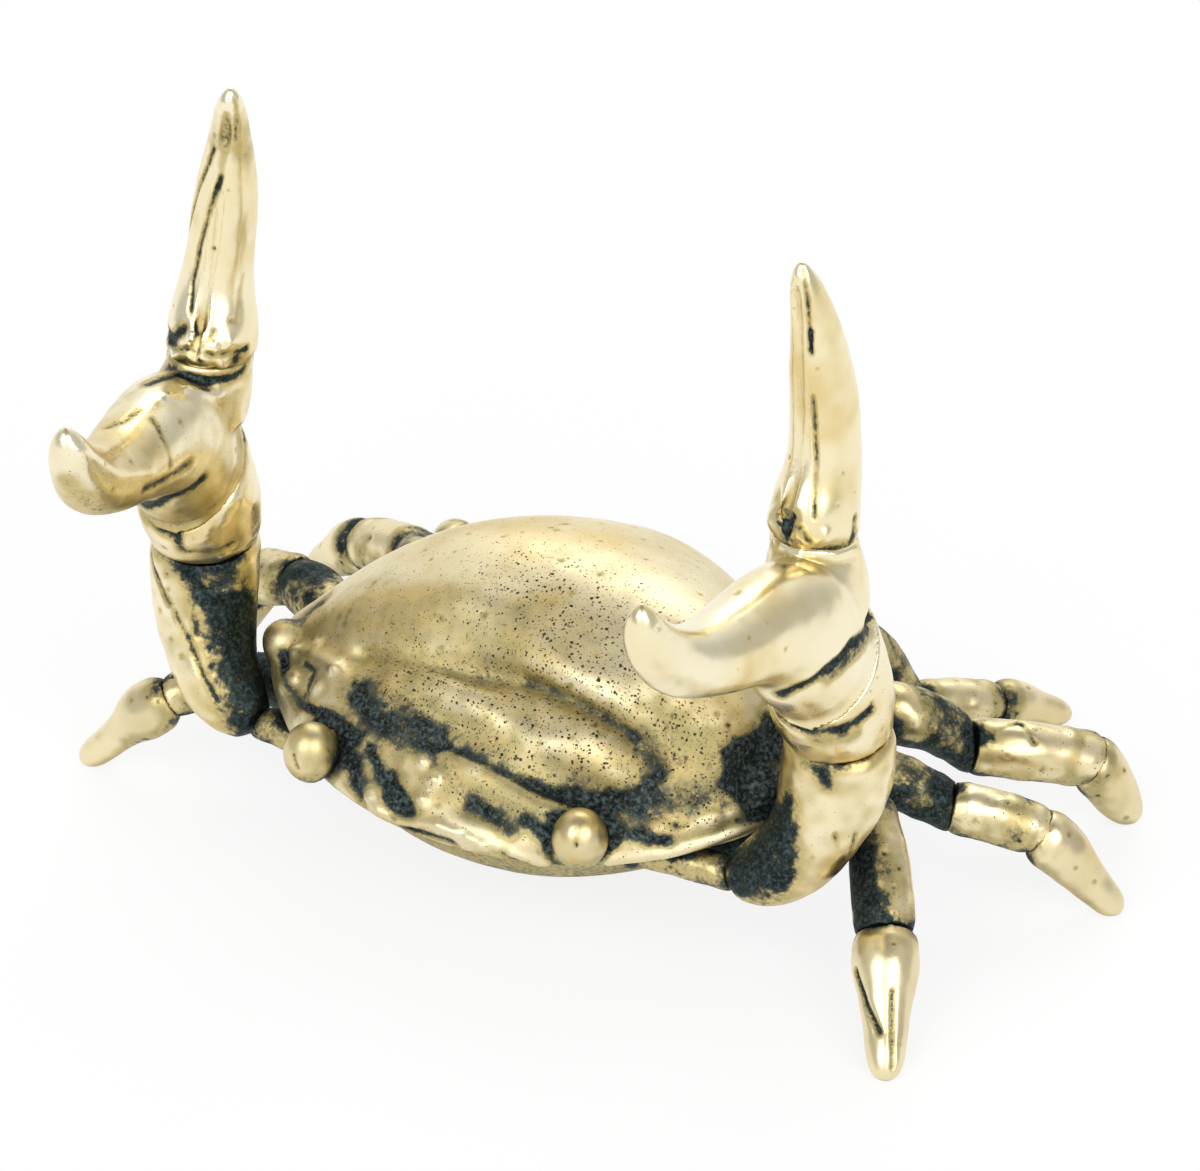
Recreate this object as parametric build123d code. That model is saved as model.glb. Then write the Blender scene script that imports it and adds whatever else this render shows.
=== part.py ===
# Cast brass crab with raised claws that carry a pen across their forks
from build123d import *
from math import cos, exp, pi, radians, sin, tan
import os

# Body, in millimetres: X to the crab's left, Y to its back, Z up
shell_width = 35.2
shell_front = 11.4      # widest line forward to the front rim
shell_back = 17.4       # widest line back to the rear rim
shell_pitch = 9.0       # degrees that the front of the body dips
front_square = 2.2      # a higher number fills out the front corners
front_round = 0.80
back_square = 1.7
back_round = 0.70
seat_height = 10.0      # joint between carapace and underbody
rim_height = 1.3        # carapace rim above the joint
dome_height = 8.7       # top of the shell above the rim
dome_lean = 0.20        # the top of the dome sits a little to the left
dome_square = 4.0       # a higher number fills out its sides
lip_rise = 0.35         # raised edge along the front rim
groove_depth = 0.9      # cross grooves of the shell
fold_place = 0.286      # neck fold on the midline, as a part of the shell length
brow_place = 0.175      # brow groove in front of it
fold_slant = 0.17       # both folds run forward to the left
body_depth = 5.8        # joint down to the belly
overhang = 2.6          # rim beyond the underbody
boss_width = 14.0       # locating boss between carapace and underbody
boss_length = 9.0
boss_height = 1.2
flap_width = 8.0        # abdomen folded under the belly
flap_length = 10.0
flap_rise = 0.5
flap_groove = 0.35
tooth_size = 1.5        # largest blunt tooth, at each corner of the shell

# Eyes
eye_radius = 1.65
eye_spread = 9.2
eye_lift = 0.9          # eye centre above the rim
eye_shift = -0.6        # both eyes sit a little to the right
stalk_radius = 0.75
stalk_length = 2.6

# Claw arms
arm_spread = 21.5       # wrist from the midline
shoulder_half = 1.1
upper_arm_half = 3.1
wrist_half = 3.3
palm_half = 3.4
hook_half = 2.6
finger_half = 2.45
shoulder_drop = 2.1     # shoulder below the rim joint
elbow_rise = 1.3        # elbow above the shoulder
upper_arm_rise = 8.9    # elbow up to the lower wrist seam
wrist_rise = 5.9        # lower to upper wrist seam
wrist_forward = 1.8
palm_forward = 3.7
finger_rise = 7.9       # upper wrist seam to the seam under the finger
finger_forward = 2.9
finger_lean = 1.3       # finger seam towards the midline
left_finger_length = 17.5
right_finger_length = 18.3
finger_groove = 0.36     # crease along the front of the finger
hook_reach = 17.1       # upper wrist seam forward to the hook tip
hook_rise = 13.2        # upper wrist seam up to the hook tip
hook_lean = 2.5         # hook tip towards the midline

# Legs
leg_half = 1.75
foot_half = 0.95
leg_reach = 10.0        # unit for the plan lengths of the legs
leg_rise = 5.0          # unit for the joint heights of the legs
hip_drop = 3.0          # hips below the rim joint
foot_height = 0.35      # centre of each foot above the ground

# Joints
fit = 0.05              # clearance round pegs and tenons
peg_length = 1.5
tenon_depth = 2.9
root_stand = 1.2        # limb roots stand clear of the body side

east, north, up = Vector(1, 0, 0), Vector(0, 1, 0), Vector(0, 0, 1)
inset = 1 - 2 * overhang / shell_width
slope = tan(radians(shell_pitch))


# Plan of the shell at a fraction of its half width
def front_edge(s):
    return -shell_front * (1 - abs(0.975 * s) ** front_square) ** front_round


def back_edge(s):
    return shell_back * (1 - abs(0.975 * s) ** back_square) ** back_round


# Half width of the underbody where a limb enters it
def body_side(y):
    scale = 0.94 * inset
    if y < 0:
        s = (1 - (-y / scale / shell_front) ** (1 / front_round)) ** (1 / front_square) / 0.975
    else:
        s = (1 - (y / scale / shell_back) ** (1 / back_round)) ** (1 / back_square) / 0.975
    return s * scale * shell_width / 2


def bump(t, centre, width):
    return exp(-((t - centre) / width) ** 2)


# Height of the shell top: dome, neck fold, brow groove and the brow itself
def shell_top(s, t):
    lean = s - dome_lean * (1 - s * s)
    side = (1 - abs(lean) ** dome_square) ** 1.1
    dome = sin(pi * t ** 1.12) if 0 < t < 1 else 0.0
    fold = fold_place - fold_slant * s - 1.1 * fold_slant * s * s
    brow = brow_place - 0.75 * fold_slant * s
    relief = 0.35 * bump(t, fold + 0.085, 0.055) - 0.65 * bump(t, fold, 0.045)
    relief += 0.45 * bump(t, brow - 0.065, 0.035) - 0.65 * bump(t, brow, 0.036)
    return rim_height + side * (dome_height * dome + groove_depth * relief)


# A smooth curve whose points fall at even steps, so that sections match
def even_curve(points):
    last = len(points) - 1
    return Edge.make_spline([Vector(p) for p in points], parameters=[i / last for i in range(last + 1)])


def shell_section(s):
    x = s * shell_width / 2
    y0, y1 = front_edge(s), back_edge(s)
    length = y1 - y0
    edge = min(0.38 * rim_height, 0.1 * length)
    start = edge / length + 0.02
    low = -0.46 * rim_height
    points = [(x, y0 + edge, low), (x, y0, 0.5 * rim_height)]
    points.append((x, y0 + edge, rim_height + lip_rise))
    for i in range(1, 27):
        t = start + (0.95 - start) * (i / 26) ** 1.4
        points.append((x, y0 + t * length, shell_top(s, t)))
    points.append((x, y1, 0.5 * rim_height))
    points.append((x, y1 - edge, low))
    top = even_curve(points)
    base = Edge.make_line(top @ 1, top @ 0)
    return make_face([top, base])


def shell_plan(scale):
    half = shell_width / 2 * scale
    stations = [sin(radians(a)) for a in range(-90, 91, 15)]
    front = even_curve([(half * s, front_edge(s) * scale, 0) for s in stations])
    back = even_curve([(half * s, back_edge(s) * scale, 0) for s in reversed(stations)])
    left = Edge.make_line(front @ 1, back @ 0)
    right = Edge.make_line(back @ 1, front @ 0)
    return make_face([front, left, back, right])


# A station of a limb: point, direction, side direction and two half sizes
def station_plane(station):
    return Plane(origin=station[0], x_dir=station[2], z_dir=station[1])


# One limb piece through oval stations; a station of one point ends it
def limb(*stations):
    sections = []
    for station in stations:
        if len(station) == 1:
            sections.append(Vertex(*station[0]))
        else:
            sections.append(station_plane(station) * Ellipse(station[3], station[4]))
    return loft(sections)


# Round peg of a piece, reaching back through the seam it grows from
def peg(station, spare=0.0):
    radius = 0.45 * min(station[3], station[4]) + spare
    depth = peg_length + spare
    return station_plane(station) * extrude(Circle(radius), -depth)


# Oval tenon of a limb root, reaching back into the underbody
def tenon(station, spare=0.0):
    return station_plane(station) * extrude(Ellipse(station[3] + spare, station[4] + spare), -tenon_depth)


def towards(a, b):
    return (b - a).normalized()


def between(a, b, t):
    return a + (b - a) * t


def twin(shape):
    return mirror(shape, Plane.YZ)


# Carapace and underbody, built level and then dipped to the front
pieces = {}
dip = Pos(0, 0, seat_height) * Rot(shell_pitch, 0, 0)
carapace = loft([shell_section(sin(radians(a))) for a in range(-90, 91, 15)])
carapace = split(carapace, Plane.XY, keep=Keep.TOP)
boss = Rectangle(boss_width, boss_length)
carapace -= extrude(offset(boss, fit), boss_height + fit)
belly = [(0, inset), (0.45, 0.95 * inset), (0.8, 0.78 * inset), (1, 0.58 * inset)]
underbody = loft([Pos(0, 0, -body_depth * depth) * shell_plan(scale) for depth, scale in belly])
underbody += extrude(boss, boss_height)
flap_at = Pos(0, 0.15 * flap_length, -body_depth)
flap = flap_at * extrude(Ellipse(flap_width / 2, flap_length / 2), -flap_rise)
for i in range(4):
    groove_at = Pos(0, flap_length * (0.2 * i - 0.3), -flap_rise)
    flap -= flap_at * groove_at * Box(flap_width, flap_groove, flap_groove)
underbody = dip * (underbody + flap)

# Eyes on short stalks, set in notches of the front rim
eye_y = front_edge(2 * eye_spread / shell_width) - 0.1 * eye_radius
hands = {"left": 1, "right": -1}
for side, hand in hands.items():
    eye_at = Vector(hand * eye_spread + eye_shift, eye_y, rim_height + eye_lift)
    stalk = Plane(origin=eye_at, z_dir=(-0.15 * hand, 0.9, -0.3))
    carapace -= Pos(eye_at) * Sphere(eye_radius + fit)
    carapace -= stalk * extrude(Circle(stalk_radius + fit), stalk_length)
    eye = Pos(eye_at) * Sphere(eye_radius) + stalk * extrude(Circle(stalk_radius), stalk_length)
    pieces[side + "_eye"] = dip * eye

# Blunt teeth along the front corners, smaller towards the eyes
teeth = [(0.93, 1.0, 1.0), (0.80, 1.2, 0.8), (0.68, 1.2, 0.7)]
for s, back, size in teeth:
    radius = size * tooth_size
    for hand in hands.values():
        tooth_at = (hand * s * shell_width / 2, front_edge(s + 0.02) + back * radius, 1.13 * radius)
        carapace += Pos(*tooth_at) * Sphere(radius)
carapace = dip * carapace

# Claw arm on the left: seams first, then the pieces between them
root_y = -0.464 * shell_front
shoulder_z = seat_height - shoulder_drop
wrist_z = shoulder_z + elbow_rise + upper_arm_rise
palm_z = wrist_z + wrist_rise
finger_z = palm_z + finger_rise
shoulder_end = Vector(shell_width / 2, root_y, shoulder_z) + Vector(-1.2, 0.3, 0) * shoulder_half
root = Vector(body_side(root_y), root_y, shoulder_z)
root += towards(root, shoulder_end) * 2.2 * root_stand
root_seam = (root, towards(root, shoulder_end), north, shoulder_half, shoulder_half)
shoulder_seam = (shoulder_end, Vector(1, 0.1, 0.35), north, shoulder_half, shoulder_half)
wrist_at = Vector(arm_spread, -wrist_forward, wrist_z)
wrist_seam = (wrist_at, Vector(0, -0.1, 1), east, upper_arm_half, wrist_half)
palm_at = Vector(arm_spread - 0.06 * palm_half, -palm_forward, palm_z)
palm_seam = (palm_at, Vector(0, -0.68, 0.73), east, wrist_half, 1.3 * wrist_half)
finger_at = Vector(arm_spread - finger_lean, -finger_forward, finger_z)
finger_seam = (finger_at, Vector(0, 0.19, 0.98), east, finger_half, 1.08 * finger_half)
hook = Vector(-hook_lean, -hook_reach, hook_rise)
hook_tip = palm_at + hook
neck = finger_at - palm_at

shoulder = limb(root_seam, shoulder_seam) + tenon(root_seam)
elbow = Vector((shoulder_end.X + arm_spread) / 2, root_y + 0.32 * upper_arm_half, shoulder_z + elbow_rise)
biceps = Vector(arm_spread, -wrist_forward, elbow.Z + 0.4 * upper_arm_rise)
biceps -= Vector(0.13, 0.35, 0) * upper_arm_half
upper_arm = limb(
    shoulder_seam,
    (elbow, Vector(0.85, 0.2, 0.5), north, 0.8 * upper_arm_half, 0.8 * upper_arm_half),
    (biceps, Vector(0.3, 0.2, 0.9), north, upper_arm_half, 0.98 * upper_arm_half),
    (wrist_at, wrist_seam[1], north, wrist_half, upper_arm_half),
)
wrist_middle = between(wrist_at, palm_at, 0.45)
wrist = limb(
    wrist_seam,
    (wrist_middle, Vector(0, -0.3, 0.95), east, 1.08 * wrist_half, 1.16 * wrist_half),
    palm_seam,
)

# Palm: swings forward from the wrist and turns up into the fixed hook
swing = [(0.12, 0.15, 0.24, (0, -0.75, 0.66), palm_half, 1.26 * palm_half),
         (0.32, 0.34, 0.40, (0, -0.95, 0.30), 0.9 * palm_half, palm_half),
         (0.52, 0.56, 0.45, (0, -1.00, 0.10), hook_half, hook_half),
         (0.76, 0.79, 0.55, (0, -0.88, 0.47), 0.81 * hook_half, 0.81 * hook_half),
         (0.96, 0.95, 0.75, (0, -0.55, 0.83), 0.6 * hook_half, 0.6 * hook_half),
         (1.00, 1.00, 0.91, (0, -0.20, 0.98), 0.37 * hook_half, 0.37 * hook_half)]
palm_stations = [palm_seam]
for x, y, z, along, half_wide, half_deep in swing:
    at = palm_at + Vector(x * hook.X, y * hook.Y, z * hook.Z)
    palm_stations.append((at, Vector(*along), east, half_wide, half_deep))
palm = limb(*palm_stations, (hook_tip,))
neck_low = palm_at + Vector(0.36 * neck.X, -0.4 * neck.Y, 0.47 * neck.Z)
neck_high = palm_at + Vector(0.64 * neck.X, 0.4 * neck.Y, 0.7 * neck.Z)
palm += limb(
    (neck_low, up, east, 0.92 * palm_half, 1.05 * palm_half),
    (neck_high, up, east, 0.85 * palm_half, 0.97 * palm_half),
    finger_seam,
)

# Upright finger: bows to the back, then leans in to a blunt tip
bow = [(0, 0.044, 0.215, 0.93), (-0.016, 0.082, 0.48, 0.79), (-0.044, 0.077, 0.715, 0.60),
       (-0.071, 0.049, 0.90, 0.37), (-0.080, 0.038, 0.963, 0.22), (-0.082, 0.036, 1, 0)]


def upright_finger(length):
    spine = [finger_at]
    spine += [finger_at + Vector(x, y, z) * length for x, y, z, k in bow]
    stations = [finger_seam]
    for i in range(1, len(bow)):
        k = bow[i - 1][3] * finger_half
        stations.append((spine[i], towards(spine[i - 1], spine[i + 1]), east, k, 1.06 * k))
    crease = [s[0] + Vector(-0.25, -1.02, 0) * s[4] for s in stations]
    crease[0] += Vector(0, -1.2 * finger_groove, 0.4 * finger_half)
    crease[-1] += Vector(0, -2.4 * finger_groove, 0)
    line = Edge.make_spline(crease)
    groove = Plane(origin=line @ 0, z_dir=line % 0) * Circle(finger_groove)
    return limb(*stations, (spine[-1],)) - sweep(groove, path=line) + peg(finger_seam)


# Pegs: each piece reaches back into a socket of the piece before it
upper_arm += peg(shoulder_seam)
shoulder -= peg(shoulder_seam, fit)
wrist += peg(wrist_seam)
upper_arm -= peg(wrist_seam, fit)
palm += peg(palm_seam)
wrist -= peg(palm_seam, fit)
palm -= peg(finger_seam, fit)
mortise = tenon(root_seam, fit)
underbody -= mortise
underbody -= twin(mortise)
arm = {"shoulder": shoulder, "upper_arm": upper_arm, "wrist": wrist, "palm": palm}
for name, shape in arm.items():
    pieces["left_" + name] = shape
    pieces["right_" + name] = twin(shape)
pieces["left_finger"] = upright_finger(left_finger_length)
pieces["right_finger"] = twin(upright_finger(right_finger_length))

# Legs, front to back: hip position, thickness and arch of the thigh, then
# for thigh, shank and tip the heading in degrees towards the back, the plan
# length, and the knee above the hip or the ankle above the ground
legs = {
    "left_leg_1": (-0.03, 1.0, 0.0, (20, 0.79, 0.47), (-55, 0.62, 1.06), (-62, 0.70)),
    "right_leg_1": (-0.03, 0.8, 0.1, (10, 0.57, 0.03), (-46, 0.53, 1.24), (-9, 0.58)),
    "left_leg_2": (0.20, 0.9, 1.0, (23, 1.18, -0.03), (26, 0.52, 1.16), (26, 0.48)),
    "right_leg_2": (0.20, 0.95, 0.35, (31, 0.96, 0.25), (16, 0.40, 1.40), (27, 0.34)),
    "left_leg_3": (0.40, 1.0, 1.5, (36, 1.35, -0.24), (41, 0.75, 0.96), (41, 0.28)),
    "right_leg_3": (0.40, 0.95, 0.6, (56, 1.24, -0.26), (22, 0.54, 0.92), (24, 0.56)),
    "left_leg_4": (0.60, 0.8, 2.5, (52, 1.25, -0.80), (53, 0.56, 0.60), (61, 0.54)),
    "right_leg_4": (0.60, 0.7, 0.6, (52, 1.19, -0.61), (46, 0.58, 0.64), (50, 0.55)),
}
for name, (along_body, thick, arch, *steps) in legs.items():
    hand = hands[name.split("_")[0]]
    hip_y = along_body * (shell_front if along_body < 0 else shell_back)
    hip = Vector(hand * body_side(hip_y), hip_y, seat_height - hip_drop + slope * hip_y)
    (_, _, knee_rise), (_, _, ankle_rise), _ = steps
    levels = [hip.Z + knee_rise * leg_rise, ankle_rise * leg_rise, foot_height]
    joints = [hip]
    for step, level in zip(steps, levels):
        turn = radians(step[0])
        plan = Vector(hand * cos(turn), sin(turn), 0) * step[1] * leg_reach
        joints.append(joints[-1] + plan + up * (level - joints[-1].Z))
    joints[0] = hip + towards(hip, joints[1]) * root_stand
    hip, knee, ankle, foot = joints
    half = thick * leg_half
    ways = [towards(a, b) for a, b in zip(joints, joints[1:])]
    ways = [ways[0], (ways[0] + ways[1]).normalized(), (ways[1] + ways[2]).normalized(), ways[2]]
    flats = [Vector(-way.Y, way.X, 0) for way in ways]
    sizes = [0.9 * half, 0.95 * half, half, thick * foot_half]
    seams = [(joints[i], ways[i], flats[i], sizes[i], sizes[i]) for i in range(4)]
    middle = between(hip, knee, 0.5) + up * arch * leg_half
    thigh = limb(seams[0], (middle, towards(hip, knee), flats[0], 1.12 * half, 1.12 * half), seams[1])
    thigh += tenon(seams[0])
    middle = between(knee, ankle, 0.5) + up * 0.11 * half
    shank = limb(seams[1], (middle, towards(knee, ankle), flats[1], 1.05 * half, 1.05 * half), seams[2])
    middle = between(ankle, foot, 0.5) + up * 0.11 * half
    tip = limb(
        seams[2],
        (middle, towards(ankle, foot), flats[3], 0.92 * half, 0.92 * half),
        (between(ankle, foot, 0.84), ways[3], flats[3], 1.3 * sizes[3], 1.3 * sizes[3]),
        (foot, ways[3], flats[3], 0.9 * sizes[3], 0.9 * sizes[3]),
        (foot + ways[3] * 0.6 * sizes[3],),
    )
    shank += peg(seams[1])
    thigh -= peg(seams[1], fit)
    tip += peg(seams[2])
    shank -= peg(seams[2], fit)
    underbody -= tenon(seams[0], fit)
    pieces[name + "_thigh"] = thigh
    pieces[name + "_shank"] = shank
    pieces[name + "_tip"] = split(tip, Plane.XY, keep=Keep.TOP)

# Every piece moves together so that the crab stands centred on the origin
pieces["carapace"] = carapace
pieces["underbody"] = underbody
box = Compound(children=[piece.solid() for piece in pieces.values()]).bounding_box()
centre = Pos(-box.center().X, -box.center().Y, 0)
os.makedirs("parts", exist_ok=True)
for name, piece in pieces.items():
    export_step(centre * piece.solid(), "parts/" + name + ".step")
print(len(pieces), "pieces,", "overall size", box.size)
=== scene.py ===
import math
import bpy
import numpy as np
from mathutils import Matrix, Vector, noise
from mathutils.bvhtree import BVHTree


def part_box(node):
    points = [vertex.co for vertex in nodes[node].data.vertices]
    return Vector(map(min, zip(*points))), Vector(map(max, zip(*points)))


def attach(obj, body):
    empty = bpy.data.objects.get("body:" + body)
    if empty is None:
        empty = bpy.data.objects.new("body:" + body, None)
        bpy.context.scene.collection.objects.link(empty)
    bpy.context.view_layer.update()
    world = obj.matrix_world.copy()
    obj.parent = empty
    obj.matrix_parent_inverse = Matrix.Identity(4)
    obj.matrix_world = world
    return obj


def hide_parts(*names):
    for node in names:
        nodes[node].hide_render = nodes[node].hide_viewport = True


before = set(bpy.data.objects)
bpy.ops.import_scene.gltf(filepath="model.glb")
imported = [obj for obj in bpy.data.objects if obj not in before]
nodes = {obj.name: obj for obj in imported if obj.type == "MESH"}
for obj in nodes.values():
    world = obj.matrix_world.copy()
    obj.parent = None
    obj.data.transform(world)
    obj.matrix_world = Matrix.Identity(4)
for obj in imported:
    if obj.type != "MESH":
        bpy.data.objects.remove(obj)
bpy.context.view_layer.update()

scene = bpy.context.scene
mm = 0.001

# where the photograph was taken from; marks on the pieces are placed by its pixels
photoView = {
    "azimuth": 29.0, "elevation": 33.5, "distance": 470 * mm,
    "aim": Vector((2.115, -3.111, 20.87)) * mm,
    "centrePixel": (327, 302), "pixelSize": 0.1 * mm,  # at the aim point
    "frameWidth": 71 * mm, "sensor": 36.0, "clip": (0.01, 10.0),
}


def direction(azimuth, elevation):
    spin, rise = math.radians(azimuth), math.radians(elevation)
    return Vector((math.sin(spin) * math.cos(rise), -math.cos(spin) * math.cos(rise), math.sin(rise)))


viewBack = direction(photoView["azimuth"], photoView["elevation"])
viewRight = Vector((-viewBack.y, viewBack.x, 0)).normalized()
viewUp = viewBack.cross(viewRight)
viewPlace = photoView["aim"] + viewBack * photoView["distance"]


def photoPoint(tree, pixel):
    across = (pixel[0] - photoView["centrePixel"][0]) * photoView["pixelSize"]
    down = (pixel[1] - photoView["centrePixel"][1]) * photoView["pixelSize"]
    aim = photoView["aim"] + viewRight * across - viewUp * down
    hit = tree.ray_cast(viewPlace, (aim - viewPlace).normalized())[0]
    return hit if hit else tree.find_nearest(aim)[0]


# mesh helpers: plain arrays in, plain arrays out
def vertPlaces(mesh):
    flat = np.empty(len(mesh.vertices) * 3, np.float32)
    mesh.vertices.foreach_get("co", flat)
    return flat.reshape(-1, 3).astype(float)


def vertNormals(mesh):
    flat = np.empty(len(mesh.vertices) * 3, np.float32)
    mesh.vertices.foreach_get("normal", flat)
    return flat.reshape(-1, 3).astype(float)


def edgeEnds(mesh):
    flat = np.empty(len(mesh.edges) * 2, np.int32)
    mesh.edges.foreach_get("vertices", flat)
    return flat.reshape(-1, 2)


def neighbourMean(values, ends, count):
    a, b = ends[:, 0], ends[:, 1]
    out = np.empty_like(values)
    for k in range(values.shape[1]):
        out[:, k] = np.bincount(a, values[b, k], len(values)) + np.bincount(b, values[a, k], len(values))
    return out / count[:, None]


def relax(values, ends, rounds, amount=0.5):
    count = np.maximum(np.bincount(ends.ravel(), minlength=len(values)), 1)
    for _ in range(rounds):
        values = values + (neighbourMean(values, ends, count) - values) * amount
    return values


def noiseAt(places, size, shift=0.0):
    step = 1 / (size * mm)
    return np.array([noise.noise(Vector((x * step + shift, y * step, z * step))) for x, y, z in places])


def strokeDistance(places, path):
    path = np.array(path)
    if len(path) == 1:
        return np.linalg.norm(places - path[0], axis=1)
    best = np.full(len(places), np.inf)
    for start, end in zip(path[:-1], path[1:]):
        run = end - start
        t = np.clip((places - start) @ run / max(run @ run, 1e-12), 0, 1)
        best = np.minimum(best, np.linalg.norm(places - start - t[:, None] * run, axis=1))
    return best


def treeOf(objects):
    verts, faces, base = [], [], 0
    for obj in objects:
        verts += [v.co for v in obj.data.vertices]
        faces += [[base + i for i in p.vertices] for p in obj.data.polygons]
        base = len(verts)
    return BVHTree.FromPolygons(verts, faces)


boxes = {name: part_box(name) for name in nodes}
wholeTree = treeOf(nodes.values())


def touching(name):
    low, high = boxes[name]
    near = []
    for other, (low2, high2) in boxes.items():
        if other != name and all(low[k] - mm < high2[k] and low2[k] - mm < high[k] for k in range(3)):
            near.append(nodes[other])
    return near


# rays sent out from a point: one along its normal and two rings round it
skyLook = {"rings": ((35, 4), (62, 6)), "start": 0.25}  # degrees off the normal and rays; mm off the metal
skyRays = [Vector((0, 0, 1))]
for ring, count in skyLook["rings"]:
    across, along = math.sin(math.radians(ring)), math.cos(math.radians(ring))
    for k in range(count):
        spin = 2 * math.pi * (k + ring / 90) / count
        skyRays.append(Vector((across * math.cos(spin), across * math.sin(spin), along)))


# how much of the sky over each point is shut off by the rest of the crab
def shelter(places, normals, reach):
    out = np.zeros(len(places))
    for i in range(len(places)):
        n = Vector(normals[i])
        start = Vector(places[i]) + n * skyLook["start"] * mm
        frameTurn = n.to_track_quat("Z", "Y")
        for ray in skyRays:
            way = frameTurn @ ray
            hit, hitNormal, _, gap = wholeTree.ray_cast(start, way, reach)
            if hit and hitNormal.dot(way) < 0:
                out[i] += 1 - gap / reach
    return out / len(skyRays)


# a stroke of the tool: path in photo pixels, width and depth in mm, shares of darkening and pits; the
# darkening is stain at most marks, and painted shade and painted reflections at a few
def mark(at, wide, deep=0.0, dark=0.0, pits=0.0):
    return {"at": at, "wide": wide, "deep": deep, "dark": dark, "pits": pits}


# how all pieces are worked: lengths in mm; each noise has its size in mm and its place in the noise
waxWork = {
    "lump": (3.4, 0), "dimple": (1.1, 7), "dimpleShare": 0.45,
    "wander": (0.9, 11), "wanderShare": 0.35, "jag": (0.4, 23), "jagShare": 0.2,
    "blotch": (2.2, 51), "spot": (0.7, 63), "spotShare": 0.6,
    "seamReach": 3.0, "crispTo": 0.1, "crispLeast": 0.15,
    "seamNoise": (1.6, 71), "seamMean": 0.75, "seamSwing": 1.1, "seamLeast": 0.15, "seamMost": 1.4,
    "seamWander": 0.2, "sinkWide": 0.3, "collarAt": 0.85, "collarWide": 0.4, "collarShare": 0.6,
    "strokeFall": 1.6, "stainFall": 2.4,
    "holeChance": 0.25, "holeLeast": 0.08, "holeMost": 0.16, "holeReach": 3,
    "holeDeep": 0.5, "holeDark": 0.5,
    "finish": 0.35, "hollowRounds": 14, "hollowLeast": -0.06, "hollowMost": 0.12,
    "shelterReach": 5.0, "underFrom": 0.1,
}


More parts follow.
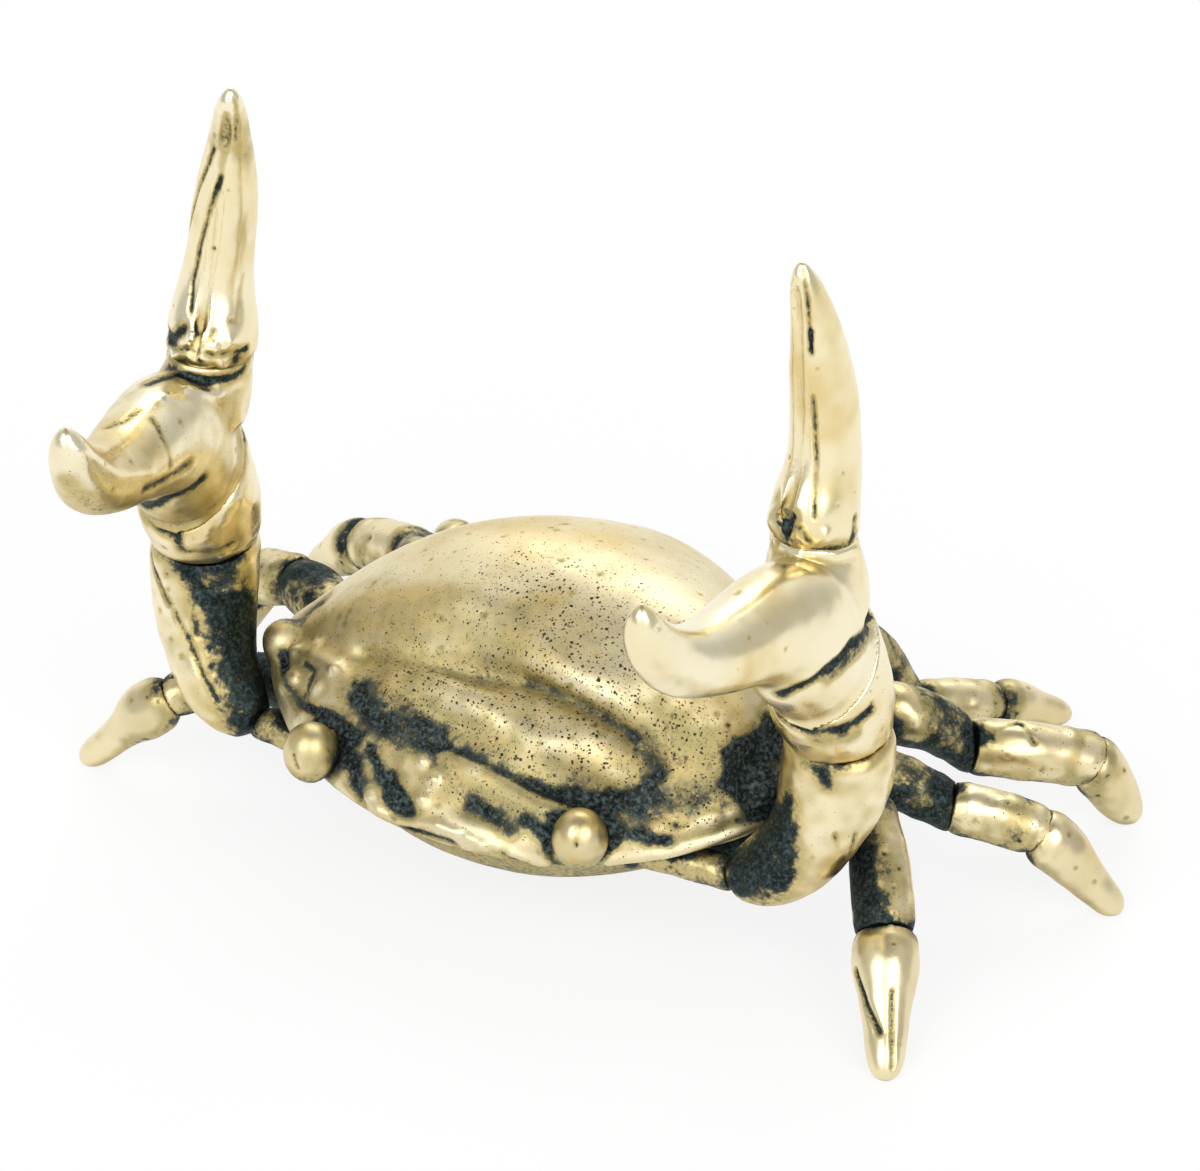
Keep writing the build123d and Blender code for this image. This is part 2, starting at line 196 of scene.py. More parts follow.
def sculpt(name, look, marks=()):
    source = nodes[name]
    piece = bpy.data.objects.new("cast_" + name, source.data.copy())
    scene.collection.objects.link(piece)
    grid = piece.modifiers.new("clay", "REMESH")
    grid.mode = "VOXEL"
    grid.voxel_size = look["voxel"] * mm
    grid.use_smooth_shade = True
    solid = bpy.data.meshes.new_from_object(piece.evaluated_get(bpy.context.evaluated_depsgraph_get()))
    piece.modifiers.clear()
    piece.data = solid
    solid.name = piece.name

    places, ends = vertPlaces(solid), edgeEnds(solid)
    near = touching(name)
    gap = np.full(len(places), waxWork["seamReach"])
    if near:
        nearTree = treeOf(near)
        reach = waxWork["seamReach"] * mm
        gap = np.array([nearTree.find_nearest(Vector(p), reach)[3] or reach for p in places]) / mm
    rounded = relax(places, ends, look["soften"])
    free = np.clip(gap - waxWork["crispTo"], waxWork["crispLeast"], 1)  # edges stay crisp at the seams
    places = places + (rounded - places) * free[:, None]
    if "swell" in look:
        places = places + (places - places.mean(0)) * (np.array(look["swell"]) - 1)
    solid.vertices.foreach_set("co", places.ravel())
    solid.update()
    normals = vertNormals(solid)
    ownTree = treeOf([source])

    # uneven hand-worked wax, and wandering edges for every mark
    lump = noiseAt(places, *waxWork["lump"]) + waxWork["dimpleShare"] * noiseAt(places, *waxWork["dimple"])
    wander, jag = noiseAt(places, *waxWork["wander"]), noiseAt(places, *waxWork["jag"])
    push = look["lumps"] * lump * mm
    blotch = noiseAt(places, *waxWork["blotch"]) + waxWork["spotShare"] * noiseAt(places, *waxWork["spot"])
    dark = look["dark"] + look["blotch"] * blotch
    pits = np.full(len(places), look["pits"])

    # seams: a sunk dark line with a swollen collar beside it
    if near:
        gap = gap + waxWork["seamWander"] * wander
        uneven = waxWork["seamMean"] + waxWork["seamSwing"] * noiseAt(places, *waxWork["seamNoise"])
        uneven = np.clip(uneven, waxWork["seamLeast"], waxWork["seamMost"])
        collar = np.exp(-((gap - waxWork["collarAt"]) / waxWork["collarWide"]) ** 2)
        push -= look["seam"] * mm * uneven * np.exp(-(gap / waxWork["sinkWide"]) ** 2)
        push += waxWork["collarShare"] * look["seam"] * mm * collar
        dark += look["seamDark"] * uneven * np.exp(-(np.maximum(gap, 0) / look["seamWide"]) ** 2)

    for m in marks:
        path = [photoPoint(ownTree, pixel) for pixel in m["at"]]
        away = strokeDistance(places, path) / (m["wide"] * mm)
        shape = np.exp(-away ** 2 * waxWork["strokeFall"])
        push -= m["deep"] * mm * shape
        pits += m["pits"] * shape
        ragged = np.maximum(away + waxWork["wanderShare"] * wander + waxWork["jagShare"] * jag, 0)
        dark += m["dark"] * np.exp(-ragged ** waxWork["stainFall"])

    # larger casting pits, sunk into the metal
    chance = np.random.default_rng(look["seed"])
    for i in chance.choice(len(places), look["holes"], replace=False):
        if chance.random() > pits[i] + waxWork["holeChance"]:
            continue
        size = chance.uniform(waxWork["holeLeast"], waxWork["holeMost"]) * mm
        close = np.abs(places - places[i]).max(1) < waxWork["holeReach"] * size
        bowl = np.exp(-(np.linalg.norm(places[close] - places[i], axis=1) / size) ** 2)
        push[close] -= waxWork["holeDeep"] * size * bowl
        dark[close] += waxWork["holeDark"] * bowl

    places = places + normals * push[:, None]
    places = relax(places, ends, 1, waxWork["finish"])
    places[:, 2] = np.maximum(places[:, 2], 0)  # feet stay on the table
    solid.vertices.foreach_set("co", places.ravel())
    solid.update()
    normals = vertNormals(solid)

    # polish reaches the high spots and recesses keep the dark finish; places sheltered by the rest of the
    # crab and the undersides are darkened too, which is painted shade along with the finish
    hollow = ((relax(places, ends, waxWork["hollowRounds"]) - places) * normals).sum(1) / mm
    dark += look["hollow"] * np.clip(hollow, waxWork["hollowLeast"], waxWork["hollowMost"])
    # painted shade where the rest of the crab shuts off the sky
    dark += look["shelter"] * shelter(places, normals, waxWork["shelterReach"] * mm)
    # painted shade on the undersides
    dark += look["under"] * np.clip(-normals[:, 2] - waxWork["underFrom"], 0, 1)
    dark = relax(dark[:, None], ends, 1)[:, 0]

    # the stored darkness holds the patina and the painted shade together
    patinaAndShade = solid.attributes.new("patinaAndShade", "FLOAT", "POINT")
    patinaAndShade.data.foreach_set("value", np.clip(dark, 0, 1).astype(np.float32))
    speck = solid.attributes.new("speck", "FLOAT", "POINT")
    speck.data.foreach_set("value", np.clip(pits, 0, 1).astype(np.float32))
    solid.materials.clear()
    solid.materials.append(brasses[look["metal"]])
    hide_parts(name)
    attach(piece, "root")
    print("cast", name, len(solid.polygons))


# antiqued brass: pale polished highs over a blue-black finish; the finish and the olive film also carry the
# painted shade stored with the patina
brassLook = {
    "honey": (0.70, 0.54, 0.23, 1), "polished": (0.80, 0.69, 0.42, 1), "polishedPale": (0.90, 0.78, 0.49, 1),
    "olive": (0.34, 0.30, 0.12, 1), "pit": (0.03, 0.03, 0.025, 1), "pitPale": (0.12, 0.10, 0.06, 1),
    "finish": (0.011, 0.019, 0.019, 1), "finishPale": (0.10, 0.135, 0.135, 1),
    # where each colour stands in its noise
    "metalStops": (0.30, 0.46, 0.62), "filmStops": (0.35, 0.75),
    "finishStops": (0.42, 0.78), "pitStops": (0.3, 0.7),
    # noises: scale per metre, detail, roughness; speckles: scale per metre
    "cloud": (130, 3, 0.55), "mottle": (620, 5, 0.65), "grain": (3600, 4, 0.6), "stipple": (6500, 2, 0.5),
    "ragged": (3600, 2, 0.5), "speckle": 3200, "fineSpeckle": 5760,
    # shares and ranges of the worn finish
    "speckleMost": 0.44, "fineSpeckleMost": 0.58, "smallPits": 3.0,
    "pitEdge": (-0.02, 0.10), "pitJitter": 0.22 * mm,
    "stippleFrom": (0.60, 0.72), "stippleMost": 0.85, "stipplePits": (0.3, 1.0),
    "mottleShare": 0.6, "grainShare": 1.1, "fleckFrom": (0.1, 0.5), "fleckLeast": 0.35,
    # shares and ranges of the worn finish and the painted shade it carries
    "tarnishFrom": (0.36, 0.92), "filmFrom": (0.02, 0.34), "filmMost": 0.85,
    # gloss and fine relief
    "dull": 0.20, "dullSwing": 0.09, "dullFrom": (0.3, 0.7), "tarnishDull": 0.2, "filmDull": 0.12,
    "relief": 0.35, "reliefDepth": 0.03 * mm,
    "mottleHeight": 0.8, "grainHeight": (0.12, 0.9), "pitDepth": 1.5,
}
shellBrass = dict(
    brassLook, polished=(0.78, 0.67, 0.41, 1), polishedPale=(0.84, 0.75, 0.50, 1),
    finishPale=(0.20, 0.25, 0.25, 1), dull=0.40, relief=0.25,
)
clawBrass = dict(
    brassLook, polished=(0.92, 0.81, 0.52, 1), polishedPale=(0.95, 0.87, 0.63, 1),
    honey=(0.76, 0.58, 0.24, 1), olive=(0.46, 0.37, 0.13, 1),
)
legBrass = dict(brassLook, dull=0.26, relief=0.5)


def brassMaterial(name, look):
    mat = bpy.data.materials.new(name)
    mat.use_nodes = True
    tree = mat.node_tree
    make, link = tree.nodes.new, tree.links.new
    shade = tree.nodes["Principled BSDF"]
    shade.inputs["Metallic"].default_value = 1.0

    def noiseNode(scale, detail, rough, output="Fac"):
        node = make("ShaderNodeTexNoise")
        node.inputs["Scale"].default_value = scale
        node.inputs["Detail"].default_value = detail
        node.inputs["Roughness"].default_value = rough
        link(coords.outputs["Object"], node.inputs["Vector"])
        return node.outputs[output]

    def math2(kind, a, b, clamp=False):
        node = make("ShaderNodeMath")
        node.operation = kind
        node.use_clamp = clamp
        for socket, value in zip(node.inputs, (a, b)):
            if hasattr(value, "is_linked"):
                link(value, socket)
            else:
                socket.default_value = value
        return node.outputs[0]

    def ramp(fac, stops, *colours):
        node = make("ShaderNodeValToRGB")
        elements = node.color_ramp.elements
        while len(elements) < len(stops):
            elements.new(0.5)
        for element, place, colour in zip(elements, stops, colours):
            element.position, element.color = place, colour
        link(fac, node.inputs["Fac"])
        return node.outputs["Color"]

    def mixColour(fac, a, b):
        node = make("ShaderNodeMix")
        node.data_type = "RGBA"
        link(fac, node.inputs["Factor"])
        link(a, node.inputs["A"])
        link(b, node.inputs["B"])
        return node.outputs["Result"]

    def spread(value, fromRange, toLow=0.0, toHigh=1.0):
        node = make("ShaderNodeMapRange")
        node.interpolation_type = "SMOOTHSTEP"
        link(value, node.inputs["Value"])
        for key, number in zip(("From Min", "From Max", "To Min", "To Max"), (*fromRange, toLow, toHigh)):
            node.inputs[key].default_value = number
        return node.outputs["Result"]

    def scaled(value, share):
        return math2("MULTIPLY", value, share)

    coords = make("ShaderNodeTexCoord")
    patinaAndShade = make("ShaderNodeAttribute")
    patinaAndShade.attribute_name = "patinaAndShade"
    speck = make("ShaderNodeAttribute")
    speck.attribute_name = "speck"
    cloud = noiseNode(*look["cloud"])
    mottle = noiseNode(*look["mottle"])
    grain = noiseNode(*look["grain"])

    # small dark casting pits with ragged edges, each cell with its own size
    jitter = make("ShaderNodeVectorMath")
    jitter.operation = "MULTIPLY_ADD"
    jitter.inputs[1].default_value = (look["pitJitter"],) * 3
    link(noiseNode(*look["ragged"], "Color"), jitter.inputs[0])
    link(coords.outputs["Object"], jitter.inputs[2])

    def pitLayer(scale, largest):
        cells = make("ShaderNodeTexVoronoi")
        cells.inputs["Scale"].default_value = scale
        link(jitter.outputs["Vector"], cells.inputs["Vector"])
        cellParts = make("ShaderNodeSeparateColor")
        link(cells.outputs["Color"], cellParts.inputs["Color"])
        cellSize = scaled(math2("POWER", cellParts.outputs["Red"], look["smallPits"]), largest)
        hole = math2("MULTIPLY", cellSize, speck.outputs["Fac"])
        return spread(math2("SUBTRACT", hole, cells.outputs["Distance"]), look["pitEdge"])

    largePits = pitLayer(look["speckle"], look["speckleMost"])
    pit = math2("MAXIMUM", largePits, pitLayer(look["fineSpeckle"], look["fineSpeckleMost"]))

    # fine stipple between the pits
    stipple = spread(noiseNode(*look["stipple"]), look["stippleFrom"], 0.0, look["stippleMost"])
    stipple = math2("MULTIPLY", stipple, spread(speck.outputs["Fac"], look["stipplePits"]))

    # the worn edge of the dark finish and painted shade follows the mottle and the grain, most where the
    # darkening is thick
    uneven = math2("ADD", scaled(mottle, look["mottleShare"]), scaled(grain, look["grainShare"]))
    uneven = math2("SUBTRACT", uneven, (look["mottleShare"] + look["grainShare"]) / 2)
    flecks = spread(patinaAndShade.outputs["Fac"], look["fleckFrom"], look["fleckLeast"])
    darkening = math2("ADD", patinaAndShade.outputs["Fac"], math2("MULTIPLY", uneven, flecks))
    # the dark finish and the olive film spread over the painted shade as well as the real patina
    tarnishAndShade = math2("MAXIMUM", spread(darkening, look["tarnishFrom"]), stipple)
    filmAndShade = spread(patinaAndShade.outputs["Fac"], look["filmFrom"])

    metal = ramp(cloud, look["metalStops"], look["honey"], look["polished"], look["polishedPale"])
    filmed = ramp(mottle, look["filmStops"], look["olive"], look["honey"])
    finish = ramp(grain, look["finishStops"], look["finish"], look["finishPale"])
    colour = mixColour(scaled(filmAndShade, look["filmMost"]), metal, filmed)
    colour = mixColour(tarnishAndShade, colour, finish)
    colour = mixColour(pit, colour, ramp(grain, look["pitStops"], look["pit"], look["pitPale"]))
    link(colour, shade.inputs["Base Color"])

    rough = spread(mottle, look["dullFrom"], look["dull"], look["dull"] + look["dullSwing"])
    rough = math2("ADD", rough, scaled(tarnishAndShade, look["tarnishDull"]))
    rough = math2("ADD", rough, scaled(math2("MAXIMUM", pit, filmAndShade), look["filmDull"]), True)
    link(rough, shade.inputs["Roughness"])

    rasp = math2("MULTIPLY", grain, spread(tarnishAndShade, (0, 1), *look["grainHeight"]))
    height = math2("ADD", scaled(mottle, look["mottleHeight"]), rasp)
    height = math2("SUBTRACT", height, scaled(pit, look["pitDepth"]))
    bump = make("ShaderNodeBump")
    bump.inputs["Strength"].default_value = look["relief"]
    bump.inputs["Distance"].default_value = look["reliefDepth"]
    link(height, bump.inputs["Height"])
    link(bump.outputs["Normal"], shade.inputs["Normal"])
    return mat


brasses = {
    "shell": brassMaterial("shellBrass", shellBrass),
    "claw": brassMaterial("clawBrass", clawBrass),
    "leg": brassMaterial("legBrass", legBrass),
}
print("brass mixed")

# carapace: folded dome, front grooves with stain and with painted shade along the neck fold, wavy rim,
# knobbly corners
shellLook = {
    "voxel": 0.17, "soften": 6, "lumps": 0.035, "dark": 0.04, "blotch": 0.10, "pits": 0.5,
    "holes": 260, "seed": 4, "seam": 0.08, "seamDark": 0.85, "seamWide": 0.6,
    "hollow": 2.6, "shelter": 0.9, "under": 0.8, "slot": "brass", "metal": "shell",
}
shellMarks = [
    # neck fold and the terrace in front of it; the olive tint along the fold is painted shade in the crease
    mark(
        [(186, 342), (242, 351), (278, 358), (305, 369), (328, 380), (351, 396), (360, 412)],
        1.05, 0.68, 0.11,
    ),
    mark([(280, 359), (305, 369), (328, 380), (346, 392)], 0.55, 0.30, 0.22),
    mark([(205, 361), (250, 374), (300, 393), (335, 412)], 1.4, -0.30, 0.02, 0.35),
    mark([(200, 330), (250, 334), (300, 345), (345, 366)], 1.8, -0.12, 0.0),
    mark([(160, 330), (190, 318), (225, 322), (270, 335)], 3.0, 0, 0.17, 0.1),
    mark([(200, 350), (250, 366), (300, 385), (350, 410)], 2.6, 0, 0.12, 0.35),
    mark([(235, 415), (280, 432), (330, 440), (380, 436)], 1.8, 0, 0.32, 0.3),
    mark([(360, 396), (385, 408), (398, 420), (370, 428)], 2.4, 0, 0.34, 0.4),
    # stained brow groove, broad at both ends
    mark([(184, 366), (192, 380), (210, 388), (226, 393)], 1.3, 0.22, 0.88, 0.3),
    mark([(226, 392), (245, 399), (262, 407), (287, 420), (305, 427)], 0.5, 0.28, 0.5, 0.3),
    mark([(310, 428), (325, 431), (345, 428), (356, 423)], 0.85, 0.2, 0.62, 0.3),
    mark([(205, 372), (245, 388), (280, 406), (310, 417)], 1.1, 0, 0.20, 0.4),
    mark([(201, 418), (206, 430), (212, 438)], 0.9, 0.25, 0.8),
    mark([(250, 432), (262, 438), (274, 446)], 0.7, 0.12, 0.6),
    mark([(283, 440), (292, 448)], 0.5, 0.12, 0.6),
    # gold nodules and the brow ridge
    mark([(222, 406)], 0.45, -0.30, -0.7),
    mark([(229, 417)], 0.5, -0.35, -0.7),
    mark([(222, 428)], 0.45, -0.28, -0.6),
    mark([(238, 413), (262, 422), (292, 434)], 0.9, -0.12, 0.10),
    # wavy bright rim with a dark line under it
    mark(
        [(176, 430), (190, 441), (204, 446), (228, 443), (246, 450), (274, 461), (296, 467)],
        0.35, -0.25, -0.6,
    ),
    mark([(186, 439)], 0.4, -0.18, -0.2),
    mark([(212, 446)], 0.4, -0.16, -0.2),
    mark([(232, 443)], 0.4, -0.16, -0.2),
    mark([(258, 456)], 0.4, -0.16, -0.2),
    mark([(198, 444)], 0.28, 0.18, 0.45),
    mark([(222, 444)], 0.28, 0.16, 0.4),
    mark([(245, 450)], 0.28, 0.18, 0.45),
    mark([(270, 460)], 0.28, 0.16, 0.4),
    mark([(204, 452), (222, 449), (238, 454), (252, 464)], 0.25, 0.22, 0.8),
    mark([(262, 457), (284, 466), (300, 470)], 0.3, 0.18, 0.7),
    mark([(333, 465), (365, 461), (400, 451), (428, 441), (446, 433)], 0.45, -0.25, -0.7),
    mark([(338, 446), (352, 452), (366, 455)], 0.55, 0.15, 0.75),
    mark([(368, 440), (386, 442), (408, 436)], 0.6, -0.15, -0.25),
    # hollow under the left corner
    mark([(430, 392), (420, 405), (418, 420), (430, 432), (444, 420)], 1.5, 0.45, 1.5),
    mark([(408, 400), (404, 418)], 0.8, 0.1, 0.35, 0.4),
    # knobbly right corner
    mark([(146, 341)], 0.55, -0.25, -0.3),
    mark([(160, 337)], 0.6, -0.25, -0.3),
    mark([(170, 350)], 0.6, -0.30, -0.4),
    mark([(160, 362)], 0.55, -0.25, -0.3),
    mark([(147, 357)], 0.45, -0.22, -0.3),
    mark([(140, 345), (141, 362), (150, 373), (170, 380), (182, 392)], 0.5, 0.22, 0.75),
    mark([(152, 348), (158, 352), (152, 366)], 0.3, 0.14, 0.5),
    mark([(144, 322), (154, 318), (162, 312)], 0.8, 0.05, 0.6),
    mark([(158, 384), (172, 396), (180, 412), (184, 426)], 0.7, 0.22, 0.8),
    mark([(190, 398), (196, 412)], 0.35, 0.15, 0.6),
    mark([(186, 398), (200, 416), (208, 430)], 1.0, 0.05, 0.45),
    mark([(150, 345), (162, 358)], 1.3, 0, 0.16),
    # dark rings round the eyes
    mark([(300, 440), (296, 452), (298, 466)], 0.45, 0.15, 0.7),
    mark([(330, 438), (336, 454), (332, 470)], 0.45, 0.15, 0.7),
    # pitted middle of the dome
    mark([(280, 300), (320, 315), (350, 340)], 4.0, 0, 0.03, 0.45),
    mark([(290, 335), (330, 355), (375, 390)], 3.0, 0, 0.06, 0.45),
]
sculpt("carapace", shellLook, shellMarks)

underLook = dict(
    shellLook, voxel=0.32, pits=0.4, holes=0, dark=0.45, shelter=0.6, under=0.3, slot="dark_brass",
)
sculpt("underbody", underLook, [mark([(400, 474), (425, 486), (455, 484)], 0.8, -0.2, -0.7)])

eyeLook = dict(
    shellLook, voxel=0.1, soften=4, lumps=0.05, dark=0.25, blotch=0.1, pits=0.1, holes=0,
    seam=0.05, seamDark=0.6, seamWide=0.3, metal="leg", swell=(1, 1, 1.16),
)
sculpt("right_eye", eyeLook, [
    # painted reflections: short dark strokes across the eye's shine
    mark([(146, 402), (148, 410)], 0.12, 0.08, 0.5),
    mark([(165, 398), (170, 408)], 0.25, 0, 0.3),
])
sculpt("left_eye", dict(eyeLook, dark=0.15), [
    # painted reflections: short dark strokes across the eye's shine
    mark([(313, 446), (313, 456)], 0.13, 0.12, 0.8),
    mark([(304, 444), (322, 443)], 0.4, 0, 0.25),
])
print("body done")

# claws: smooth polished fingers over stained wrists
fingerLook = {
    "voxel": 0.13, "soften": 6, "lumps": 0.06, "dark": 0.0, "blotch": 0.07, "pits": 0.12,
    "holes": 30, "seed": 9, "seam": 0.08, "seamDark": 0.75, "seamWide": 0.75,
    "hollow": 4.0, "shelter": 0.4, "under": 0.3, "slot": "brass", "metal": "claw",
}
sculpt("right_finger", fingerLook, [
    mark([(88, 153), (85, 138), (86, 122), (90, 102), (96, 80), (103, 60)], 0.2, 0.14, 0.75),
    mark([(76, 112), (86, 80), (93, 58), (98, 44)], 0.22, 0.12, 0.6),
    mark([(112, 146), (116, 120)], 0.3, 0.06, 0.18),
    mark([(112, 6), (113, 34)], 1.9, 0, 0.38, 0.2),
    mark([(111, 14), (112, 38)], 0.18, 0.08, 0.3),
    mark([(66, 150), (74, 156), (80, 150)], 0.5, 0.22, 0.9),
    mark([(86, 154), (91, 166)], 0.35, -0.25, -0.4),
    mark([(98, 160), (104, 172)], 0.4, -0.22, -0.3),
    mark([(92, 178), (104, 182)], 0.4, 0.15, 0.6),
    mark([(112, 168)], 0.5, 0.15, 0.9),
    mark([(76, 166)], 0.45, -0.25, -0.2),
    mark([(108, 158)], 0.45, -0.2, -0.2),
    mark([(98, 152), (96, 158)], 0.25, 0.12, 0.6),
    mark([(72, 158), (84, 163), (100, 165), (118, 162)], 0.28, 0.14, 0.8),
])
sculpt("left_finger", fingerLook, [
    mark([(447, 115), (450, 135), (452, 165)], 0.18, 0.12, 0.7),
    mark([(453, 190), (455, 225), (454, 262)], 0.18, 0.12, 0.7),
    mark([(429, 236), (428, 250), (431, 264)], 1.0, 0.55, 0.2),
    mark([(452, 152), (451, 162)], 0.25, 0.10, 0.5),
    mark([(440, 262), (436, 272)], 0.55, 0.22, 0.9),
    mark([(446, 268), (450, 276)], 0.3, 0.1, 0.5),
    mark([(478, 262), (476, 276)], 0.35, 0.12, 0.5),
    mark([(460, 272)], 0.5, -0.2, -0.2),
    mark([(446, 282), (462, 284), (478, 278)], 0.3, 0.05, 0.5),
])
palmLook = dict(
    fingerLook, voxel=0.18, soften=10, lumps=0.05, holes=40, seed=14, seamDark=0.35,
    shelter=0.6, under=0.45,
)
sculpt("right_palm", dict(palmLook, seam=-0.12, pits=0.4, dark=0.16, blotch=0.12), [
    mark([(62, 203), (68, 214), (73, 232)], 0.14, 0.12, 0.6),
    mark([(36, 208), (46, 204), (54, 198)], 0.3, 0.06, 0.4, 0.5),
    mark([(84, 231), (72, 239), (58, 246)], 0.45, 0.15, 0.45),
    mark([(58, 256), (72, 250), (92, 240)], 0.5, 0.15, 0.7),
    mark([(60, 182), (72, 178)], 0.5, 0.15, 0.7),
    mark([(84, 186), (100, 190)], 0.5, -0.22, -0.2),
    mark([(78, 177), (94, 181), (110, 179), (118, 172)], 0.3, 0.12, 0.7),
    mark([(70, 190)], 0.5, -0.2, 0),
    mark([(20, 222), (42, 236), (62, 236)], 0.5, -0.12, 0.1),
    mark([(12, 240), (30, 256), (50, 260)], 0.6, 0, 0.2),
])
sculpt("left_palm", dict(palmLook, seam=-0.08, seamDark=0.2), [
    # painted shadow: a thin dark line along the palm's upper-left edge
    mark([(432, 276), (421, 290), (408, 306)], 0.22, 0.10, 0.55),
    mark([(487, 318), (476, 337), (461, 352), (444, 363), (434, 367)], 0.42, 0.22, 0.95),
    mark([(486, 328), (476, 344), (464, 356)], 0.6, 0.05, 0.75),
    mark([(446, 282), (466, 284), (480, 280)], 0.35, -0.2, -0.2),
    mark([(360, 344), (385, 362), (415, 368)], 0.7, 0, 0.16),
    mark([(398, 316), (410, 322)], 0.5, 0, 0.14),
])
wristLook = dict(
    fingerLook, voxel=0.18, lumps=0.10, dark=0.06, pits=0.35, holes=40, seed=21, seamDark=0.4,
    shelter=0.9,
)
sculpt("right_wrist", wristLook, [
    mark([(114, 212), (106, 226), (98, 240)], 0.7, 0.2, 0.9),
    mark([(94, 256), (108, 252), (120, 254)], 0.8, -0.15, -0.3),
    mark([(52, 264), (68, 268), (80, 263)], 0.6, 0.15, 0.7),
    mark([(60, 276), (80, 282), (110, 278)], 0.35, 0.1, 0.6),
])
sculpt("left_wrist", dict(wristLook, seam=-0.02, seamDark=0.1), [
    mark([(432, 376), (448, 386), (468, 388), (488, 376)], 0.4, 0.2, 0.85),
    mark([(456, 394), (478, 390)], 0.6, 0.05, 0.5),
    mark([(436, 372), (446, 376)], 0.25, 0.1, 0.5),
])
armLook = dict(wristLook, dark=0.18, lumps=0.14, seed=27)
sculpt("right_upper_arm", armLook, [
    mark([(110, 320), (116, 345), (121, 362), (126, 382)], 2.1, 0.08, 1.2),
    mark([(128, 320), (134, 345)], 1.2, 0, 0.6),
    mark([(84, 294), (94, 312)], 0.8, 0.1, 0.8),
    mark([(98, 286), (116, 284)], 0.6, 0.08, 0.6),
    mark([(98, 309), (112, 303)], 0.6, -0.15, -0.5),
    mark([(62, 284), (66, 300), (72, 313)], 0.25, 0.15, 0.5),
    mark([(75, 318), (84, 336), (92, 355), (100, 370)], 0.22, 0.15, 0.4),
    mark([(60, 345), (72, 352)], 0.3, 0.1, 0.3),
])
sculpt("left_upper_arm", armLook, [
    mark([(430, 420), (426, 440), (422, 458), (412, 474)], 2.0, 0.1, 1.1),
    mark([(438, 430), (439, 455), (432, 480)], 0.7, 0, 0.7),
    mark([(396, 482), (418, 491), (440, 493), (456, 488)], 0.5, -0.1, -1.8),
    mark([(456, 400), (461, 418)], 0.6, 0.12, 0.75),
    mark([(470, 406), (486, 398)], 0.4, 0.08, 0.4),
    mark([(470, 456), (476, 468)], 0.8, -0.15, 0.12),
    mark([(466, 450), (470, 468), (466, 478)], 0.15, 0.10, 0.4),
    mark([(478, 450), (474, 462), (480, 472)], 0.15, 0.10, 0.4),
])
for side in ("left", "right"):
    sculpt(side + "_shoulder", dict(armLook, dark=0.5, slot="dark_brass"))
print("arms done")

# legs: thighs keep most of the dark finish, tips are bright
legLook = {
    "voxel": 0.16, "soften": 4, "lumps": 0.13, "dark": 0.13, "blotch": 0.30, "pits": 0.5,
    "holes": 20, "seed": 33, "seam": 0.10, "seamDark": 0.9, "seamWide": 1.0,
    "hollow": 5.0, "shelter": 1.2, "under": 0.85, "slot": "brass", "metal": "leg",
}
thighLook = dict(legLook, dark=0.78, blotch=0.5, lumps=0.2, slot="dark_brass")
tipLook = dict(legLook, dark=0.10, blotch=0.12, pits=0.15, lumps=0.08, seed=41)
legMarks = {
    "left_leg_1_shank": [mark([(480, 468), (484, 500)], 1.7, 0.1, 0.9, 0.4)],
    "left_leg_1_tip": [
        mark([(478, 530), (484, 550), (492, 566)], 0.26, 0.25, 0.7),
        mark([(500, 542), (500, 570), (500, 588)], 0.2, 0.15, 0.5),
    ],
    "left_leg_3_thigh": [mark([(505, 362), (512, 376), (514, 390)], 0.7, -0.1, -0.6)],
    "left_leg_3_shank": [mark([(562, 378), (575, 383), (584, 395)], 0.2, 0.15, 0.6)],
}
for side in ("left", "right"):
    for k in (1, 2, 3, 4):
        for part, look in (("thigh", thighLook), ("shank", legLook), ("tip", tipLook)):
            name = f"{side}_leg_{k}_{part}"
            sculpt(name, look, legMarks.get(name, ()))
print("legs done")

# pale floor that fades into the white room; soft lamps to the left, to the right and behind
stageLook = {
    "floorSize": 3.0, "floorColour": (0.93, 0.93, 0.93, 1), "floorRough": 0.9, "floorGlow": 0.82,
    "walls": (1, 1, 1, 1), "gap": (0.30, 0.30, 0.30, 1), "gapHeight": 80, "gapReach": (0.52, 0.97),
    "sides": (0.55, 0.55, 0.55, 1), "sidesReach": (0.45, 0.9),
    "lampSize": 0.5, "lampDistance": 0.8,
    "lamps": (("leftLamp", -36, 40, 2.3), ("rightLamp", 30, 38, 2.1), ("backLamp", 170, 48, 1.3)),
}


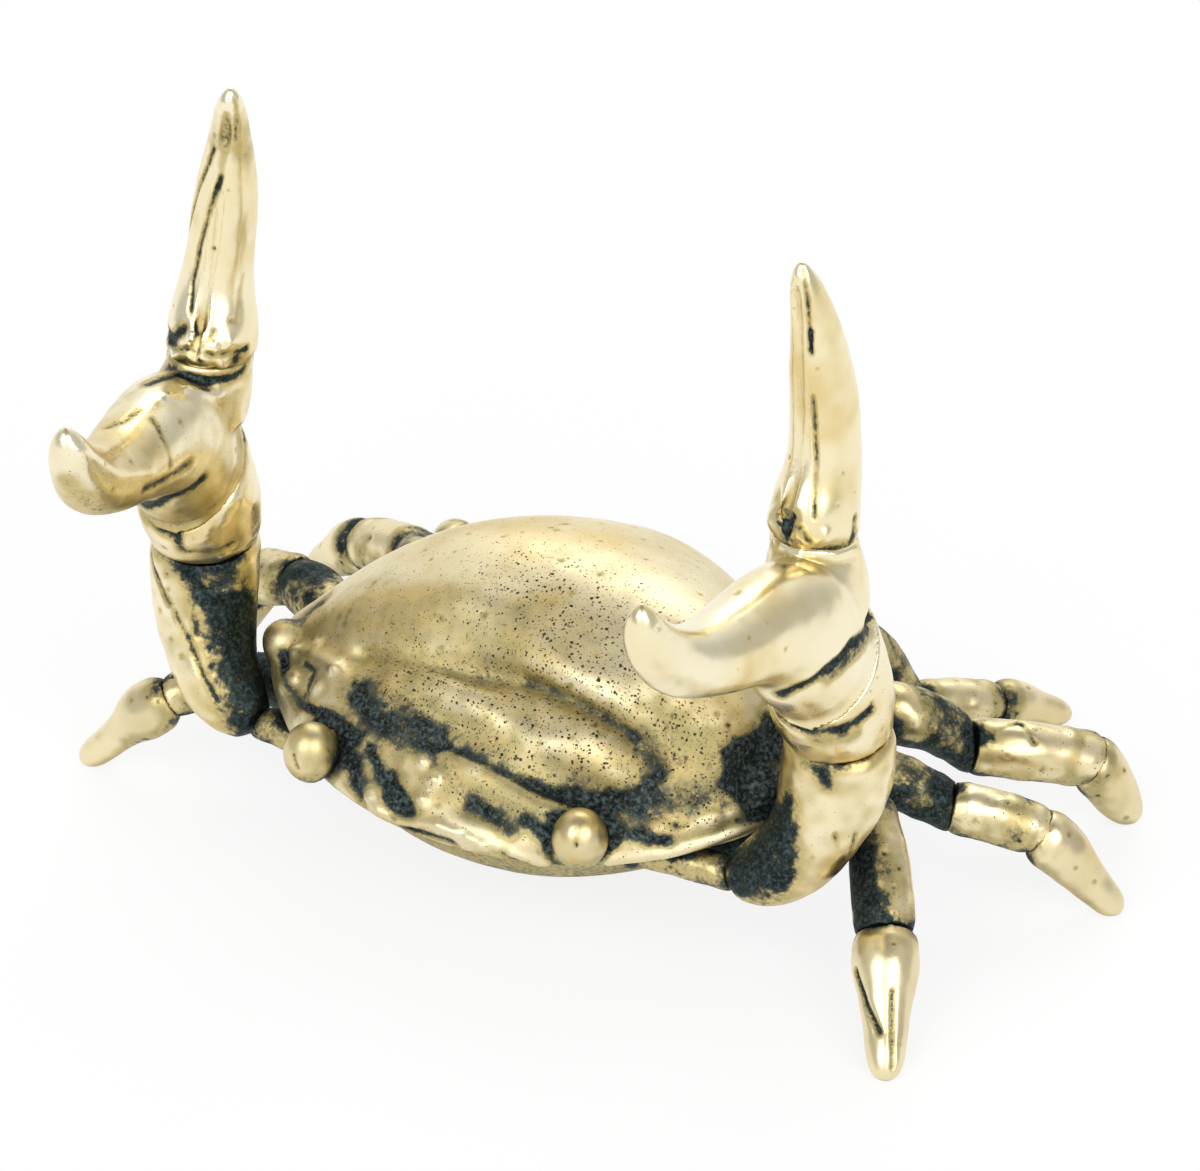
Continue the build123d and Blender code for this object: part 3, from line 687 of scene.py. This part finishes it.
def layFloor(look):
    half = look["floorSize"] / 2
    mesh = bpy.data.meshes.new("floor")
    corners = [(-half, -half, 0), (half, -half, 0), (half, half, 0), (-half, half, 0)]
    mesh.from_pydata(corners, [], [(0, 1, 2, 3)])
    floor = bpy.data.objects.new("floor", mesh)
    scene.collection.objects.link(floor)
    mat = bpy.data.materials.new("paleFloor")
    mat.use_nodes = True
    make, link = mat.node_tree.nodes.new, mat.node_tree.links.new
    shade = mat.node_tree.nodes["Principled BSDF"]
    shade.inputs["Base Color"].default_value = look["floorColour"]
    shade.inputs["Roughness"].default_value = look["floorRough"]
    shade.inputs["Specular IOR Level"].default_value = 0.0
    # the picture and the reflections see a paper-white floor that still takes the shadow
    rays = make("ShaderNodeLightPath")
    seen = make("ShaderNodeMath")
    link(rays.outputs["Is Camera Ray"], seen.inputs[0])
    link(rays.outputs["Is Glossy Ray"], seen.inputs[1])
    alsoSeen = make("ShaderNodeMath")
    alsoSeen.use_clamp = True
    link(seen.outputs[0], alsoSeen.inputs[0])
    link(rays.outputs["Is Transmission Ray"], alsoSeen.inputs[1])
    share = make("ShaderNodeMath")
    share.operation = "MULTIPLY"
    share.inputs[1].default_value = look["floorGlow"]
    link(alsoSeen.outputs[0], share.inputs[0])
    glow = make("ShaderNodeEmission")
    both = make("ShaderNodeMixShader")
    link(share.outputs[0], both.inputs["Fac"])
    link(shade.outputs["BSDF"], both.inputs[1])
    link(glow.outputs["Emission"], both.inputs[2])
    link(both.outputs["Shader"], mat.node_tree.nodes["Material Output"].inputs["Surface"])
    mesh.materials.append(mat)


def hangLamps(look):
    for name, swing, height, watts in look["lamps"]:
        lamp = bpy.data.lights.new(name, "AREA")
        lamp.shape = "SQUARE"
        lamp.size = look["lampSize"]
        lamp.energy = watts
        obj = bpy.data.objects.new(name, lamp)
        obj.location = direction(photoView["azimuth"] + swing, height) * look["lampDistance"]
        obj.rotation_euler = (photoView["aim"] - obj.location).to_track_quat("-Z", "Y").to_euler()
        scene.collection.objects.link(obj)


def lightRoom(look):
    world = bpy.data.worlds.new("whiteRoom")
    scene.world = world
    world.use_nodes = True
    make, link = world.node_tree.nodes.new, world.node_tree.links.new
    # white before and behind the crab, dimmer to both sides and in a gap overhead
    coords = make("ShaderNodeTexCoord")

    def turnedTo(way):
        along = make("ShaderNodeVectorMath")
        along.operation = "DOT_PRODUCT"
        along.inputs[1].default_value = way
        link(coords.outputs["Generated"], along.inputs[0])
        return along.outputs["Value"]

    def fade(amount, reach, colour):
        ramp = make("ShaderNodeValToRGB")
        ramp.color_ramp.interpolation = "EASE"
        for element, place, shade in zip(ramp.color_ramp.elements, reach, (look["walls"], colour)):
            element.position, element.color = place, shade
        link(amount, ramp.inputs["Fac"])
        return ramp.outputs["Color"]

    overhead = turnedTo(direction(photoView["azimuth"], look["gapHeight"]))
    sideways = make("ShaderNodeMath")
    sideways.operation = "ABSOLUTE"
    link(turnedTo(viewRight), sideways.inputs[0])
    both = make("ShaderNodeMix")
    both.data_type, both.blend_type = "RGBA", "MULTIPLY"
    both.inputs["Factor"].default_value = 1
    link(fade(overhead, look["gapReach"], look["gap"]), both.inputs["A"])
    link(fade(sideways.outputs[0], look["sidesReach"], look["sides"]), both.inputs["B"])
    link(both.outputs["Result"], world.node_tree.nodes["Background"].inputs["Color"])


layFloor(stageLook)
lightRoom(stageLook)
hangLamps(stageLook)
print("stage lit")

lens = bpy.data.cameras.new("photoCamera")
lens.sensor_width = photoView["sensor"]
lens.lens = photoView["sensor"] * photoView["distance"] / photoView["frameWidth"]
lens.clip_start, lens.clip_end = photoView["clip"]
camera = bpy.data.objects.new("photoCamera", lens)
camera.location = viewPlace
camera.rotation_euler = viewBack.to_track_quat("Z", "Y").to_euler()
scene.collection.objects.link(camera)
scene.camera = camera
scene.view_settings.view_transform = "Standard"

print("scene ready")
